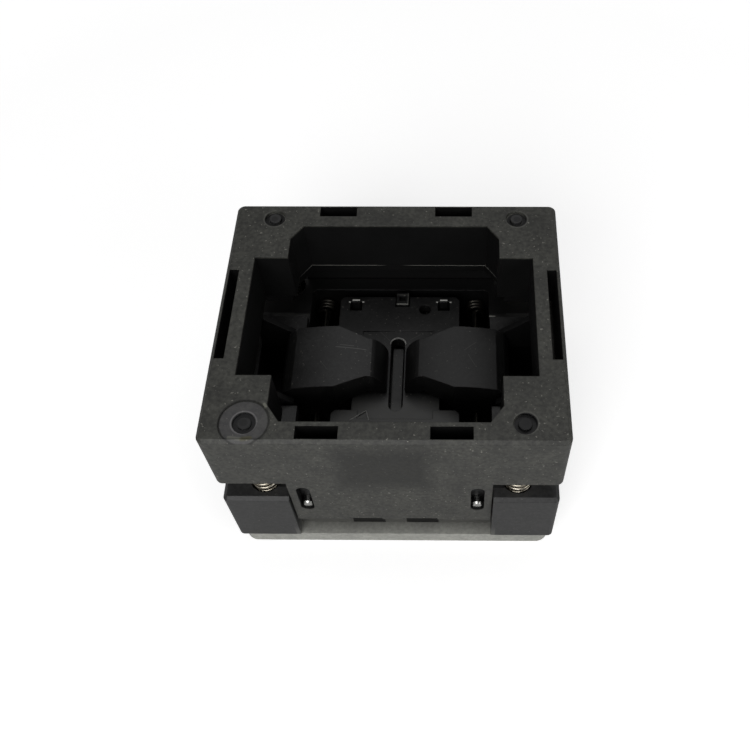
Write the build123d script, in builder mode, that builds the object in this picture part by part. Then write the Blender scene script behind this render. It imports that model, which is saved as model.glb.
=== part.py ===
from build123d import *
import math
import os

# Open-top test socket for a small ball-grid package. All lengths are in millimetres.
# X runs to the right, Y to the back and Z up. The origin is the middle of the underside.

# Package that the socket holds
package_half_width = 4.7
package_half_depth = 6.65
package_seat = 12.8

# Cover that is pressed down to open the socket
cover_corner_radius = 0.9
cover_top_chamfer = 0.4
band_height = 10.0
back_rim = 3.6
front_rim = 2.55
side_rim = 3.2
corner_block = 7.2
arm_back = 8.3
arm_front = 8.6
pocket_chamfer_x = 1.45
pocket_chamfer_y = 2.05
undercut = 1.0
undercut_height = 2.3
skirt_shaft_wall = 1.7
back_skirt_shaft_wall = 2.8
skirt_thickness = 1.1
skirt_drop = 10.0
skirt_notch_width = 3.9
skirt_notch_height = 0.35
skirt_notch_x = 3.4
tongue_width = 11.2
tongue_thickness = 1.1
tongue_drop = 8.0

# Narrow pockets in the rim of the cover
rim_pocket_inset = 12.8
rim_pocket_length = 4.6
rim_pocket_width = 1.6
side_pocket_length = 12.8
side_pocket_width = 1.15
rim_pocket_wall = 0.45
rim_pocket_depth = 7.0

# Moulded marks over the springs, and the shallow dimple at the first corner
ring_radius = 1.3
ring_boss_radius = 0.75
ring_depth = 0.4
ring_sides = 16
dimple_radius = 2.8
dimple_depth = 0.2

# Hollows in the underside of the cover's corners
core_size = 1.9
core_rib = 0.7
core_depth = 7.0
core_wall = 0.75

# Stroke of the cover
press_travel = 3.3
stroke_spare = 0.1

# Base
base_height = 10.4
base_floor = 2.0
base_side_step = 0.1
base_front_step = 0.45
base_corner_radius = 0.6
base_top_chamfer = 0.45
base_end_wall = 1.95
well_side_room = 1.8
well_end_room = 1.5
well_corner_cut = 0.4
slide_gap = 0.15
channel_gap = 0.1
post_height = 1.6
post_gap = 0.15
cradle_thickness = 1.2
cradle_reach = 3.5
cradle_y = 7.0
window_half_width = 6.0
window_lip = 1.5

# Bottom plate, its screws and the fixing holes
plate_thickness = 2.2
plate_side_step = 0.4
plate_front_step = 0.1
plate_corner_radius = 1.6
screw_side_inset = 3.5
screw_channel_wall = 2.05
screw_radius = 0.8
screw_head_radius = 1.5
screw_recess = 0.1
screw_length = 6.0
screw_gap = 0.05
screw_sides = 12
fixing_end_inset = 4.6
fixing_radius = 1.025
fixing_depth = 7.2

# Cover springs
spring_side_inset = 5.0
spring_end_inset = 2.4
spring_outer_radius = 1.72
spring_wire = 0.4
spring_turns = 10
spring_pocket_gap = 0.13
spring_pocket_sides = 16
spring_base_depth = 2.4
spring_cover_depth = 2.6

# Latches and their pivot shafts
latch_radius = 7.5
latch_swing_gap = 0.25
pivot_z = 9.7
shaft_radius = 0.7
shaft_overhang = 1.0
shaft_bore_wall = 0.75
shaft_bore_gap = 0.05
shaft_end_chamfer = 0.2
shaft_press_gap = 0.01
shaft_slot_width = 1.6
shaft_slot_spare = 1.1
pivot_clearance = 0.05
latch_half_width = 4.5
nose_half_width = 2.8
nose_gap = 1.15
nose_lift = 0.15
latch_top = 17.0
hub_radius = 2.0
hub_side_gap = 0.2
latch_wall = 1.1
latch_rib = 1.0
latch_swing = 52.0
ear_radius = 0.9
ear_thickness = 0.95
ear_sides = 16
pusher_gap = 0.06
pusher_thickness = 0.75
pusher_reach = 5.3
pusher_tip_height = 2.2

# Torsion springs that close the latches
torsion_wire = 0.44
torsion_turns = 3
torsion_pitch = 0.5
torsion_wall_gap = 0.05
torsion_clearance = 0.12
torsion_leg = 2.4
torsion_socket = 0.5
torsion_socket_gap = 0.05
torsion_socket_sides = 8

# Floating plate that receives the package
adapter_rim = 0.15
adapter_thickness = 1.6
adapter_side_margin = 3.3
adapter_end_margin = 5.65
adapter_waist_margin = 0.8
adapter_waist_step = 1.25
adapter_corner_cut = 0.5
slot_width = 1.8
slot_end_margin = 1.2
sight_hole_x = 3.4
sight_hole_inset = 2.1
sight_hole_radius = 0.8
sight_hole_sides = 20

# Springs under the floating plate
float_spring_side_inset = 2.1
float_spring_end_inset = 3.7
float_spring_radius = 0.8
float_spring_wire = 0.25
float_spring_turns = 4
float_spring_gap = 0.15
float_seat_depth = 1.8
float_seat_sides = 12

# Contact block with its hooks
block_side_step = 0.7
block_end_step = 0.4
block_height = 5.0
block_rib_width = 1.35
block_rib_end_gap = 0.65
block_rib_height = 2.3
hook_side_inset = 2.1
hook_end_inset = 0.98
hook_width = 1.0
hook_thickness = 0.35
hook_overhang = 0.35
hook_head_height = 0.35
hook_gap = 0.08
hook_window_gap = 0.3
hook_window_reach = 1.1

# Key of the contact block that guides the back edge of the floating plate
key_x = 0.35
key_width = 1.6
key_inset = 1.5
key_gap = 0.15
key_pocket = 0.9

# Contacts and the plate that holds them
contact_pitch = 0.8
contact_first_x = 1.6
contact_columns = 3
contact_rows = 7
contact_width = 0.2
contact_thickness = 0.3
contact_bend = 0.12
contact_foot = 0.3
contact_slit = 0.5
contact_end_gap = 0.15
contact_tip_drop = 0.3
retainer_gap = 0.1

# Straight runs in each turn of a coil, and sides of its wire
coil_steps = 8
coil_sides = 4

# Heights worked out from the sizes above
base_bottom = plate_thickness
base_top = base_bottom + base_height
floor_top = base_bottom + base_floor
band_bottom = base_top + press_travel + stroke_spare
cover_top = band_bottom + band_height
skirt_bottom = band_bottom - skirt_drop
undercut_top = band_bottom + undercut_height
block_top = floor_top + block_height
adapter_bottom = package_seat - adapter_thickness
adapter_top = package_seat + adapter_rim
spring_seat = base_top - spring_base_depth
spring_length = band_bottom + spring_cover_depth - spring_seat
spring_pocket_radius = spring_outer_radius + spring_pocket_gap

# Floating plate and contact block, which grow with the package
adapter_half_width = package_half_width + adapter_side_margin
adapter_half_depth = package_half_depth + adapter_end_margin
adapter_waist = package_half_width + adapter_waist_margin
adapter_waist_half_depth = package_half_depth - adapter_waist_step
block_half_width = adapter_half_width - block_side_step
block_half_depth = adapter_half_depth + block_end_step
slot_length = 2 * (package_half_depth - slot_end_margin)
block_rib_length = slot_length - 2 * block_rib_end_gap
hook_x = adapter_half_width - hook_side_inset
hook_y = adapter_half_depth - hook_end_inset
float_spring_x = adapter_half_width - float_spring_side_inset
float_spring_y = adapter_half_depth - float_spring_end_inset
sight_hole_y = adapter_half_depth - sight_hole_inset

# Pivots, and the walls of the base and the cover that stand round the latches
pivot_x = adapter_half_width + hub_radius + hub_side_gap
well_half_width = pivot_x + well_side_room
well_half_depth = adapter_half_depth + well_end_room
channel_half_width = latch_half_width + ear_thickness + channel_gap
channel_reach = pivot_x + latch_radius + latch_swing_gap
foot_half_width = channel_reach - slide_gap
arm_half_width = foot_half_width - undercut
wall_outer_y = well_half_depth + base_end_wall
half_width = arm_half_width + side_rim
half_depth = wall_outer_y + slide_gap + skirt_thickness
cover_width = 2 * half_width
cover_depth = 2 * half_depth
pocket_half_width = half_width - corner_block
pocket_back = half_depth - back_rim
pocket_front = half_depth - front_rim
skirt_width = 2 * (pivot_x + skirt_shaft_wall)
back_skirt_width = 2 * (pivot_x + back_skirt_shaft_wall)
base_width = cover_width - 2 * base_side_step
base_depth = cover_depth + 2 * base_front_step
skirt_recess = base_depth / 2 - wall_outer_y
tongue_recess = base_width / 2 - (half_width - tongue_thickness - slide_gap)

# Shafts, springs, screws and fixing holes
shaft_front = wall_outer_y + shaft_overhang
bore_back = wall_outer_y - shaft_bore_wall
spring_x = half_width - spring_side_inset
spring_y = half_depth - spring_end_inset
screw_x = base_width / 2 - screw_side_inset
screw_y = channel_half_width + screw_channel_wall
fixing_y = half_depth - fixing_end_inset
rim_pocket_x = half_width - rim_pocket_inset
cone_height = screw_head_radius - screw_radius

# The ear of a latch is half a swing above the shaft's level with the latch closed, and half
# a swing below it with the latch open. This keeps it under the flat end of its pusher.
ear_angle = math.radians(latch_swing / 2)
ear_arm = press_travel / (2 * math.sin(ear_angle))
ear_x = pivot_x + ear_arm * math.cos(ear_angle)
ear_z = pivot_z + ear_arm * math.sin(ear_angle)
pusher_bottom = ear_z + ear_radius + pusher_gap
pusher_y = latch_half_width + ear_thickness - channel_gap / 2 - pusher_thickness / 2
shaft_slot_height = press_travel + shaft_slot_width + shaft_slot_spare

spring_points = [(x, y) for x in (-spring_x, spring_x) for y in (-spring_y, spring_y)]
sides = (("left", -1), ("right", 1))
ends = (("front", -1), ("back", 1))
column_x = [contact_first_x + contact_pitch * i for i in range(contact_columns)]
column_points = [(sign * x, 0) for sign in (-1, 1) for x in column_x]
row_span = contact_pitch * (contact_rows - 1)
slit_length = row_span + contact_thickness + 2 * contact_end_gap
contact_top = package_seat - contact_tip_drop


def opening_half(grow=0.0):
    """Corner points of the right half of the cross-shaped opening, grown by the given width."""
    side = pocket_half_width + grow
    back = pocket_back + grow
    front = pocket_front + grow
    cut_x = pocket_chamfer_x + grow
    cut_y = pocket_chamfer_y + grow
    return [
        (0, back),
        (side - cut_x, back),
        (side, back - cut_y),
        (side, arm_back + grow),
        (arm_half_width + grow, arm_back + grow),
        (arm_half_width + grow, -arm_front - grow),
        (side, -arm_front - grow),
        (side, cut_y - front),
        (side - cut_x, -front),
        (0, -front),
    ]


def coil_points(radius, turns, height):
    """Corner points of a coil round the Z axis, in straight runs of equal length."""
    count = round(coil_steps * turns)
    angles = [2 * math.pi * i / coil_steps for i in range(count + 1)]
    return [
        (radius * math.cos(a), radius * math.sin(a), height * i / count)
        for i, a in enumerate(angles)
    ]


# Cover: band, skirts at the front and the back, and guide tongues at the sides
with BuildPart() as cover:
    with BuildSketch(Plane.XY.offset(band_bottom)):
        RectangleRounded(cover_width, cover_depth, cover_corner_radius)
    extrude(amount=band_height)
    chamfer(cover.faces().sort_by(Axis.Z)[-1].outer_wire().edges(), cover_top_chamfer)
    with BuildSketch(Plane.XY.offset(skirt_bottom)):
        with Locations((0, (skirt_thickness - cover_depth) / 2)):
            Rectangle(skirt_width, skirt_thickness)
        with Locations((0, (cover_depth - skirt_thickness) / 2)):
            Rectangle(back_skirt_width, skirt_thickness)
    extrude(amount=skirt_drop)
    with BuildSketch(Plane.XY.offset(band_bottom - tongue_drop)):
        with GridLocations(cover_width - tongue_thickness, 0, 2, 1):
            Rectangle(tongue_thickness, tongue_width)
    extrude(amount=tongue_drop)
    # Cross-shaped opening, wider at the foot of the band
    with BuildSketch(Plane.XY.offset(band_bottom)):
        with BuildLine():
            Polyline(opening_half(), close=True)
        make_face()
        mirror(about=Plane.YZ)
    extrude(amount=band_height, mode=Mode.SUBTRACT)
    with BuildSketch(Plane.XY.offset(band_bottom)):
        with BuildLine():
            Polyline(opening_half(undercut), close=True)
        make_face()
        mirror(about=Plane.YZ)
    extrude(amount=undercut_height, mode=Mode.SUBTRACT)
    # Gussets that press on the latches' ears
    for y in (-pusher_y, pusher_y):
        with BuildSketch(Plane.XZ.offset(y)):
            with BuildLine():
                Polyline(
                    [(foot_half_width - pusher_reach, pusher_bottom),
                     (foot_half_width, pusher_bottom),
                     (foot_half_width, undercut_top),
                     (arm_half_width, undercut_top),
                     (foot_half_width - pusher_reach, pusher_bottom + pusher_tip_height)],
                    close=True,
                )
            make_face()
            mirror(about=Plane.YZ)
        extrude(amount=pusher_thickness / 2, both=True)
    # Spring pockets and the hollows beside them, from below
    with BuildSketch(Plane.XY.offset(band_bottom)):
        with Locations(spring_points):
            RegularPolygon(spring_pocket_radius, spring_pocket_sides, major_radius=False)
    extrude(amount=spring_cover_depth, mode=Mode.SUBTRACT)
    core_y = spring_y - spring_pocket_radius - core_wall - core_size / 2
    core_x = half_width - core_wall - core_size - core_rib / 2
    with BuildSketch(Plane.XY.offset(band_bottom)):
        with Locations([(x, y) for x in (-core_x, core_x) for y in (-core_y, core_y)]):
            with GridLocations(core_size + core_rib, 0, 2, 1):
                Rectangle(core_size, core_size)
    extrude(amount=core_depth, mode=Mode.SUBTRACT)
    # Pockets in the rim, from above
    with BuildSketch(Plane.XY.offset(cover_top)):
        with GridLocations(
            2 * rim_pocket_x, cover_depth - 2 * rim_pocket_wall - rim_pocket_width, 2, 2
        ):
            Rectangle(rim_pocket_length, rim_pocket_width)
        with GridLocations(cover_width - 2 * rim_pocket_wall - side_pocket_width, 0, 2, 1):
            Rectangle(side_pocket_width, side_pocket_length)
    extrude(amount=-rim_pocket_depth, mode=Mode.SUBTRACT)
    # Moulded marks
    with BuildSketch(Plane.XY.offset(cover_top)):
        with Locations((-spring_x, -spring_y)):
            RegularPolygon(dimple_radius, 2 * ring_sides)
        Rectangle(
            cover_width - 2 * cover_top_chamfer,
            cover_depth - 2 * cover_top_chamfer,
            mode=Mode.INTERSECT,
        )
    extrude(amount=-dimple_depth, mode=Mode.SUBTRACT)
    with BuildSketch(Plane.XY.offset(cover_top)):
        with Locations(spring_points):
            RegularPolygon(ring_radius, ring_sides)
            RegularPolygon(ring_boss_radius, ring_sides, mode=Mode.SUBTRACT)
    extrude(amount=-ring_depth, mode=Mode.SUBTRACT)
    # Slots in the front skirt for the ends of the pivot shafts, and notches under both skirts
    with BuildSketch(Plane.XZ):
        slot_middle = pivot_z + (shaft_slot_height - shaft_slot_width) / 2
        with Locations((-pivot_x, slot_middle), (pivot_x, slot_middle)):
            SlotOverall(shaft_slot_height, shaft_slot_width, rotation=90)
    extrude(amount=half_depth, mode=Mode.SUBTRACT)
    with BuildSketch(Plane.XZ):
        with Locations(
            (-skirt_notch_x, skirt_bottom + skirt_notch_height / 2),
            (skirt_notch_x, skirt_bottom + skirt_notch_height / 2),
        ):
            Rectangle(skirt_notch_width, skirt_notch_height)
    extrude(amount=half_depth, both=True, mode=Mode.SUBTRACT)
cover.part.label = "cover"


# Base: corner blocks with a deep well, side channels and guide posts between them
with BuildPart() as base:
    with BuildSketch(Plane.XY.offset(base_bottom)):
        RectangleRounded(base_width, base_depth, base_corner_radius)
    extrude(amount=base_height)
    chamfer(base.faces().sort_by(Axis.Z)[-1].edges(), base_top_chamfer)
    # Recesses in which the cover's skirts and tongues slide
    with BuildSketch(Plane.XY.offset(base_bottom)):
        with Locations((0, (skirt_recess - base_depth) / 2)):
            Rectangle(skirt_width + 2 * slide_gap, skirt_recess)
        with Locations((0, (base_depth - skirt_recess) / 2)):
            Rectangle(back_skirt_width + 2 * slide_gap, skirt_recess)
        with GridLocations(base_width - tongue_recess, 0, 2, 1):
            Rectangle(tongue_recess, tongue_width + 2 * slide_gap)
    extrude(amount=base_height, mode=Mode.SUBTRACT)
    # Well and the channels in which the latches swing
    with BuildSketch(Plane.XY.offset(floor_top)):
        Rectangle(2 * well_half_width, 2 * well_half_depth)
        chamfer(vertices(), well_corner_cut)
        Rectangle(2 * channel_reach, 2 * channel_half_width)
    extrude(amount=base_height, mode=Mode.SUBTRACT)
    # Guide posts inside the side arms of the cover's opening
    with BuildSketch(Plane.XY.offset(base_top)):
        post_width = arm_half_width - post_gap - well_half_width
        post_x = well_half_width + post_width / 2
        for y_limit in (arm_back - post_gap, post_gap - arm_front):
            post_depth = abs(y_limit) - channel_half_width
            post_y = math.copysign(channel_half_width + post_depth / 2, y_limit)
            with Locations((-post_x, post_y), (post_x, post_y)):
                Rectangle(post_width, post_depth)
    extrude(amount=post_height)
    # Half-round cradles under the pivot shafts, and the shafts' bores in the end walls
    with BuildSketch(Plane.XY.offset(floor_top)):
        with GridLocations(2 * well_half_width - cradle_reach, 2 * cradle_y, 2, 2):
            Rectangle(cradle_reach, cradle_thickness)
    extrude(amount=pivot_z - floor_top)
    with BuildSketch(Plane.XZ.offset(wall_outer_y)):
        with Locations((-pivot_x, pivot_z), (pivot_x, pivot_z)):
            Circle(shaft_radius + shaft_press_gap)
    extrude(amount=-wall_outer_y - bore_back, mode=Mode.SUBTRACT)
    # Window for the contacts
    with BuildSketch(Plane.XY.offset(base_bottom)):
        Rectangle(2 * window_half_width, 2 * window_half_width)
    extrude(amount=base_floor, mode=Mode.SUBTRACT)
    # Spring pockets from above, screw and fixing holes from below
    with BuildSketch(Plane.XY.offset(spring_seat)):
        with Locations(spring_points):
            RegularPolygon(spring_pocket_radius, spring_pocket_sides, major_radius=False)
    extrude(amount=spring_base_depth, mode=Mode.SUBTRACT)
    with BuildSketch(Plane.XY.offset(base_bottom)):
        with GridLocations(2 * screw_x, 2 * screw_y, 2, 2):
            RegularPolygon(screw_radius + screw_gap, screw_sides)
    extrude(amount=screw_length + screw_radius - base_bottom, mode=Mode.SUBTRACT)
    with BuildSketch(Plane.XY.offset(base_bottom)):
        with GridLocations(2 * screw_x, 2 * fixing_y, 2, 2):
            Circle(fixing_radius)
    extrude(amount=fixing_depth - base_bottom, mode=Mode.SUBTRACT)
base.part.label = "base"


# Bottom plate
with BuildPart() as bottom_plate:
    with BuildSketch():
        RectangleRounded(
            base_width - 2 * plate_side_step,
            base_depth - 2 * plate_front_step,
            plate_corner_radius,
        )
        Rectangle(
            2 * (window_half_width - window_lip),
            2 * (window_half_width - window_lip),
            mode=Mode.SUBTRACT,
        )
        with GridLocations(2 * screw_x, 2 * screw_y, 2, 2):
            RegularPolygon(screw_radius + screw_gap, screw_sides, mode=Mode.SUBTRACT)
        with GridLocations(2 * screw_x, 2 * fixing_y, 2, 2):
            Circle(fixing_radius, mode=Mode.SUBTRACT)
    extrude(amount=plate_thickness)
    # Countersinks for the screws' heads
    with BuildSketch():
        with GridLocations(2 * screw_x, 2 * screw_y, 2, 2):
            RegularPolygon(screw_head_radius + screw_gap + screw_recess, screw_sides)
    extrude(amount=cone_height + screw_recess, taper=45, mode=Mode.SUBTRACT)
bottom_plate.part.label = "bottom_plate"


# Countersunk screws of the bottom plate
with BuildPart() as plate_screws:
    with BuildSketch(Plane.XY.offset(screw_recess)):
        with GridLocations(2 * screw_x, 2 * screw_y, 2, 2):
            RegularPolygon(screw_head_radius, screw_sides)
    extrude(amount=cone_height, taper=45)
    with BuildSketch(Plane.XY.offset(screw_recess)):
        with GridLocations(2 * screw_x, 2 * screw_y, 2, 2):
            RegularPolygon(screw_radius, screw_sides)
    extrude(amount=screw_length - screw_recess)
plate_screws.part.label = "plate_screws"


# Pivot shafts
shafts = []
for side_name, side in sides:
    with BuildPart() as shaft:
        with BuildSketch(Plane.XZ.offset(shaft_front)):
            with Locations((side * pivot_x, pivot_z)):
                Circle(shaft_radius)
        extrude(amount=shaft_bore_gap - shaft_front - bore_back)
        chamfer(shaft.faces().sort_by(Axis.Y)[0].edges(), shaft_end_chamfer)
    shaft.part.label = f"pivot_shaft_{side_name}"
    shafts.append(shaft.part)


def along(share):
    """X of a point on the right latch, as a share of the way from the nose's tip to the pivot."""
    return nose_gap + share * (pivot_x - nose_gap)


# Hollow under a latch, on both sides of its middle rib
nose_z = package_seat + nose_lift
with BuildPart() as latch_core:
    with BuildSketch(Plane.XZ):
        with BuildLine():
            Polyline(
                [(along(0.36), nose_z + 0.7),
                 (along(0.42), latch_top - 1.6),
                 (along(0.8), latch_top - latch_wall),
                 (pivot_x + 2.0, latch_top - latch_wall - 0.7),
                 (pivot_x + 2.2, pivot_z + hub_radius + 0.9),
                 (pivot_x - 0.6, pivot_z + hub_radius + 0.7),
                 (along(0.735), pivot_z + hub_radius - 0.5),
                 (along(0.6), pivot_z + hub_radius + 0.1)],
                close=True,
            )
        make_face()
    extrude(amount=latch_half_width, both=True)
    with BuildSketch():
        with BuildLine():
            Polyline(
                [(along(0.25), latch_rib / 2), (along(0.25), nose_half_width - latch_wall),
                 (along(0.68), latch_half_width - latch_wall),
                 (pivot_x + latch_radius, latch_half_width - latch_wall),
                 (pivot_x + latch_radius, latch_rib / 2)],
                close=True,
            )
        make_face()
        mirror(about=Plane.XZ)
    extrude(amount=latch_top, mode=Mode.INTERSECT)


# Right latch: a curved arm on a hub, with a nose over the package and an ear on each side
with BuildPart() as latch_right:
    with BuildSketch(Plane.XZ):
        with BuildLine():
            ThreePointArc(
                (nose_gap, nose_z),
                (along(0.05), (nose_z + latch_top) / 2 + 0.3),
                (along(0.2), latch_top - 0.3),
            )
            ThreePointArc(
                (along(0.2), latch_top - 0.3),
                (along(0.66), latch_top + 0.1),
                (pivot_x + 2.4, latch_top - 0.6),
            )
            Polyline(
                (pivot_x + 2.4, latch_top - 0.6),
                (pivot_x + 3.5, latch_top - 1.5),
                (pivot_x + 4.1, latch_top - 3.0),
                (pivot_x + 3.9, pivot_z + 2.3),
                (pivot_x + 3.0, pivot_z + 0.7),
                (pivot_x + 1.4, pivot_z - 0.4),
                (pivot_x - 2.0, pivot_z + 0.2),
                (along(0.757), pivot_z + 1.2),
                (along(0.646), nose_z - 0.75),
                (along(0.49), nose_z + 0.15),
                (along(0.27), nose_z + 0.35),
                (along(0.215), nose_z),
                (nose_gap, nose_z),
            )
        make_face()
        with Locations((pivot_x, pivot_z)):
            Circle(hub_radius)
    extrude(amount=latch_half_width, both=True)
    with BuildSketch():
        with BuildLine():
            Polyline(
                [(0, 0), (0, nose_half_width), (along(0.26), nose_half_width),
                 (along(0.68), latch_half_width),
                 (pivot_x + latch_radius, latch_half_width), (pivot_x + latch_radius, 0)],
                close=True,
            )
        make_face()
        mirror(about=Plane.XZ)
    extrude(amount=2 * latch_top, mode=Mode.INTERSECT)
    add(latch_core.part, mode=Mode.SUBTRACT)
    with BuildSketch(Plane.XZ):
        with Locations((ear_x, ear_z)):
            RegularPolygon(ear_radius, ear_sides)
    extrude(amount=latch_half_width + ear_thickness, both=True)
    with BuildSketch(Plane.XZ):
        with Locations((pivot_x, pivot_z)):
            Circle(shaft_radius + pivot_clearance)
    extrude(amount=latch_half_width, both=True, mode=Mode.SUBTRACT)
    # Sockets for the long legs of the torsion springs
    leg_z = pivot_z + shaft_radius + torsion_clearance + torsion_wire / 2
    for y in (-latch_half_width, latch_half_width):
        with BuildSketch(Plane.XZ.offset(-y)):
            with Locations((pivot_x, leg_z)):
                RegularPolygon(torsion_wire / 2 + 2 * torsion_socket_gap, torsion_socket_sides)
        extrude(amount=torsion_socket, both=True, mode=Mode.SUBTRACT)
latch_right.part.label = "latch_right"

with BuildPart() as latch_left:
    mirror(latch_right.part, about=Plane.YZ)
latch_left.part.label = "latch_left"


# Torsion spring at the right back: a long leg along the shaft, the coil and a short leg
torsion_radius = leg_z - pivot_z
torsion_runs = round(coil_steps * (torsion_turns + 0.25))
coil_end_y = well_half_depth - torsion_wall_gap - torsion_wire / 2
coil_start_y = coil_end_y - torsion_pitch * torsion_runs / coil_steps
leg_start_y = latch_half_width - torsion_socket + 2 * torsion_socket_gap
torsion_path = [(pivot_x, leg_start_y, leg_z)]
for i in range(torsion_runs + 1):
    a = 2 * math.pi * i / coil_steps
    torsion_path.append((
        pivot_x + torsion_radius * math.sin(a),
        coil_start_y + torsion_pitch * i / coil_steps,
        pivot_z + torsion_radius * math.cos(a),
    ))
torsion_path.append((
    pivot_x + torsion_radius,
    coil_end_y,
    pivot_z - torsion_leg,
))
with BuildPart() as torsion_spring:
    with BuildLine() as path:
        Polyline(torsion_path)
    with BuildSketch(Plane(origin=path.line @ 0, z_dir=path.line % 0)):
        RegularPolygon(torsion_wire / 2, coil_sides)
    sweep(transition=Transition.RIGHT)

latch_springs = []
for side_name, side in sides:
    for end_name, end in ends:
        spring = torsion_spring.part
        if side < 0:
            spring = mirror(spring, about=Plane.YZ)
        if end < 0:
            spring = mirror(spring, about=Plane.XZ)
        with BuildPart() as latch_spring:
            add(spring)
        latch_spring.part.label = f"latch_spring_{end_name}_{side_name}"
        latch_springs.append(latch_spring.part)


# Compression springs under the cover's corners
with BuildPart() as tall_coil:
    with BuildLine() as path:
        Polyline(
            coil_points(
                spring_outer_radius - spring_wire / 2, spring_turns, spring_length - spring_wire
            )
        )
    with BuildSketch(Plane(origin=path.line @ 0, z_dir=path.line % 0)):
        RegularPolygon(spring_wire / 2, coil_sides)
    sweep(transition=Transition.RIGHT)

cover_springs = []
for side_name, side in sides:
    for end_name, end in ends:
        with BuildPart() as cover_spring:
            with Locations((side * spring_x, end * spring_y, spring_seat + spring_wire / 2)):
                add(tall_coil.part)
        cover_spring.part.label = f"cover_spring_{end_name}_{side_name}"
        cover_springs.append(cover_spring.part)


# Floating plate
with BuildPart() as adapter_plate:
    with BuildSketch(Plane.XY.offset(adapter_bottom)):
        end_depth = adapter_half_depth - adapter_waist_half_depth
        with GridLocations(0, adapter_half_depth + adapter_waist_half_depth, 1, 2):
            Rectangle(2 * adapter_half_width, end_depth)
        chamfer(vertices(), adapter_corner_cut)
        Rectangle(2 * adapter_waist, adapter_half_depth + adapter_waist_half_depth)
        SlotOverall(slot_length, slot_width, rotation=90, mode=Mode.SUBTRACT)
        with Locations((sight_hole_x, sight_hole_y)):
            RegularPolygon(sight_hole_radius, sight_hole_sides, mode=Mode.SUBTRACT)
        # Windows for the contact block's hooks
        window_outer = hook_y + hook_thickness / 2 + hook_gap
        window_depth = hook_window_reach + hook_thickness + hook_gap
        with GridLocations(2 * hook_x, 2 * window_outer - window_depth, 2, 2):
            Rectangle(hook_width + 2 * hook_window_gap, window_depth, mode=Mode.SUBTRACT)
        # Notch for the key
        with Locations((key_x, adapter_half_depth)):
            Rectangle(key_width + 2 * key_gap, 2 * (key_inset + key_gap), mode=Mode.SUBTRACT)
    extrude(amount=adapter_top - adapter_bottom)
    with BuildSketch(Plane.XY.offset(adapter_top)):
        Rectangle(2 * package_half_width, 2 * package_half_depth)
        Rectangle(2 * adapter_waist, 2 * adapter_waist_half_depth)
    extrude(amount=-adapter_rim, mode=Mode.SUBTRACT)
    with BuildSketch(Plane.XY.offset(adapter_bottom)):
        with Locations(column_points):
            Rectangle(contact_slit, slit_length)
    extrude(amount=adapter_thickness, mode=Mode.SUBTRACT)
adapter_plate.part.label = "adapter_plate"


# Springs under the floating plate
float_seat = block_top - float_seat_depth
with BuildPart() as short_coil:
    with BuildLine() as path:
        Polyline(
            coil_points(
                float_spring_radius - float_spring_wire / 2,
                float_spring_turns,
                adapter_bottom - float_seat - float_spring_wire,
            )
        )
    with BuildSketch(Plane(origin=path.line @ 0, z_dir=path.line % 0)):
        RegularPolygon(float_spring_wire / 2, coil_sides)
    sweep(transition=Transition.RIGHT)

adapter_springs = []
for side_name, side in sides:
    for end_name, end in ends:
        with BuildPart() as adapter_spring:
            with Locations(
                (side * float_spring_x, end * float_spring_y, float_seat + float_spring_wire / 2)
            ):
                add(short_coil.part)
        adapter_spring.part.label = f"adapter_spring_{end_name}_{side_name}"
        adapter_springs.append(adapter_spring.part)


# Contact block with its middle rib, spring seats and the hooks that hold the floating plate
with BuildPart() as contact_block:
    with BuildSketch(Plane.XY.offset(floor_top)):
        Rectangle(2 * block_half_width, 2 * block_half_depth)
        with Locations(column_points):
            Rectangle(contact_slit, slit_length, mode=Mode.SUBTRACT)
    extrude(amount=block_height)
    with BuildSketch(Plane.XY.offset(block_top)):
        Rectangle(block_rib_width, block_rib_length)
    extrude(amount=block_rib_height)
    with BuildSketch(Plane.XY.offset(float_seat)):
        with GridLocations(2 * float_spring_x, 2 * float_spring_y, 2, 2):
            RegularPolygon(float_spring_radius + float_spring_gap, float_seat_sides, major_radius=False)
    extrude(amount=float_seat_depth, mode=Mode.SUBTRACT)
    hook_top = adapter_top + hook_gap + hook_head_height
    with BuildSketch(Plane.XY.offset(block_top)):
        with GridLocations(2 * hook_x, 2 * hook_y, 2, 2):
            Rectangle(hook_width, hook_thickness)
    extrude(amount=hook_top - block_top)
    with BuildSketch(Plane.XY.offset(hook_top)):
        with GridLocations(2 * hook_x, 2 * hook_y + hook_overhang, 2, 2):
            Rectangle(hook_width, hook_thickness + hook_overhang)
    extrude(amount=-hook_head_height)
    # Key with a square pocket in its end
    with BuildSketch(Plane.XY.offset(block_top)):
        key_front = adapter_half_depth - key_inset
        with Locations((key_x, (key_front + block_half_depth) / 2)):
            Rectangle(key_width, block_half_depth - key_front)
    extrude(amount=hook_top - block_top)
    with BuildSketch(Plane.XY.offset(hook_top)):
        with Locations((key_x, (key_front + block_half_depth) / 2)):
            Rectangle(key_pocket, key_pocket)
    extrude(amount=-key_pocket, mode=Mode.SUBTRACT)
contact_block.part.label = "contact_block"


# Plate in the base's window that holds the contacts' lower ends
with BuildPart() as contact_retainer:
    with BuildSketch(Plane.XY.offset(base_bottom)):
        Rectangle(
            2 * (window_half_width - retainer_gap), 2 * (window_half_width - retainer_gap)
        )
        with Locations(column_points):
            Rectangle(contact_slit, slit_length, mode=Mode.SUBTRACT)
    extrude(amount=base_floor)
contact_retainer.part.label = "contact_retainer"


# Contacts: bent strips in rows, from the underside to just below the package's seat
with BuildPart() as contact:
    with BuildSketch(Plane.XZ):
        middle = [
            (-contact_bend, contact_foot),
            (contact_bend, (floor_top + block_top) / 2),
            (-contact_bend, contact_top),
        ]
        with BuildLine():
            Polyline(
                [(x - contact_width / 2, z) for x, z in middle]
                + [(x + contact_width / 2, z) for x, z in reversed(middle)],
                close=True,
            )
        make_face()
    extrude(amount=contact_thickness / 2, both=True)

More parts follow.
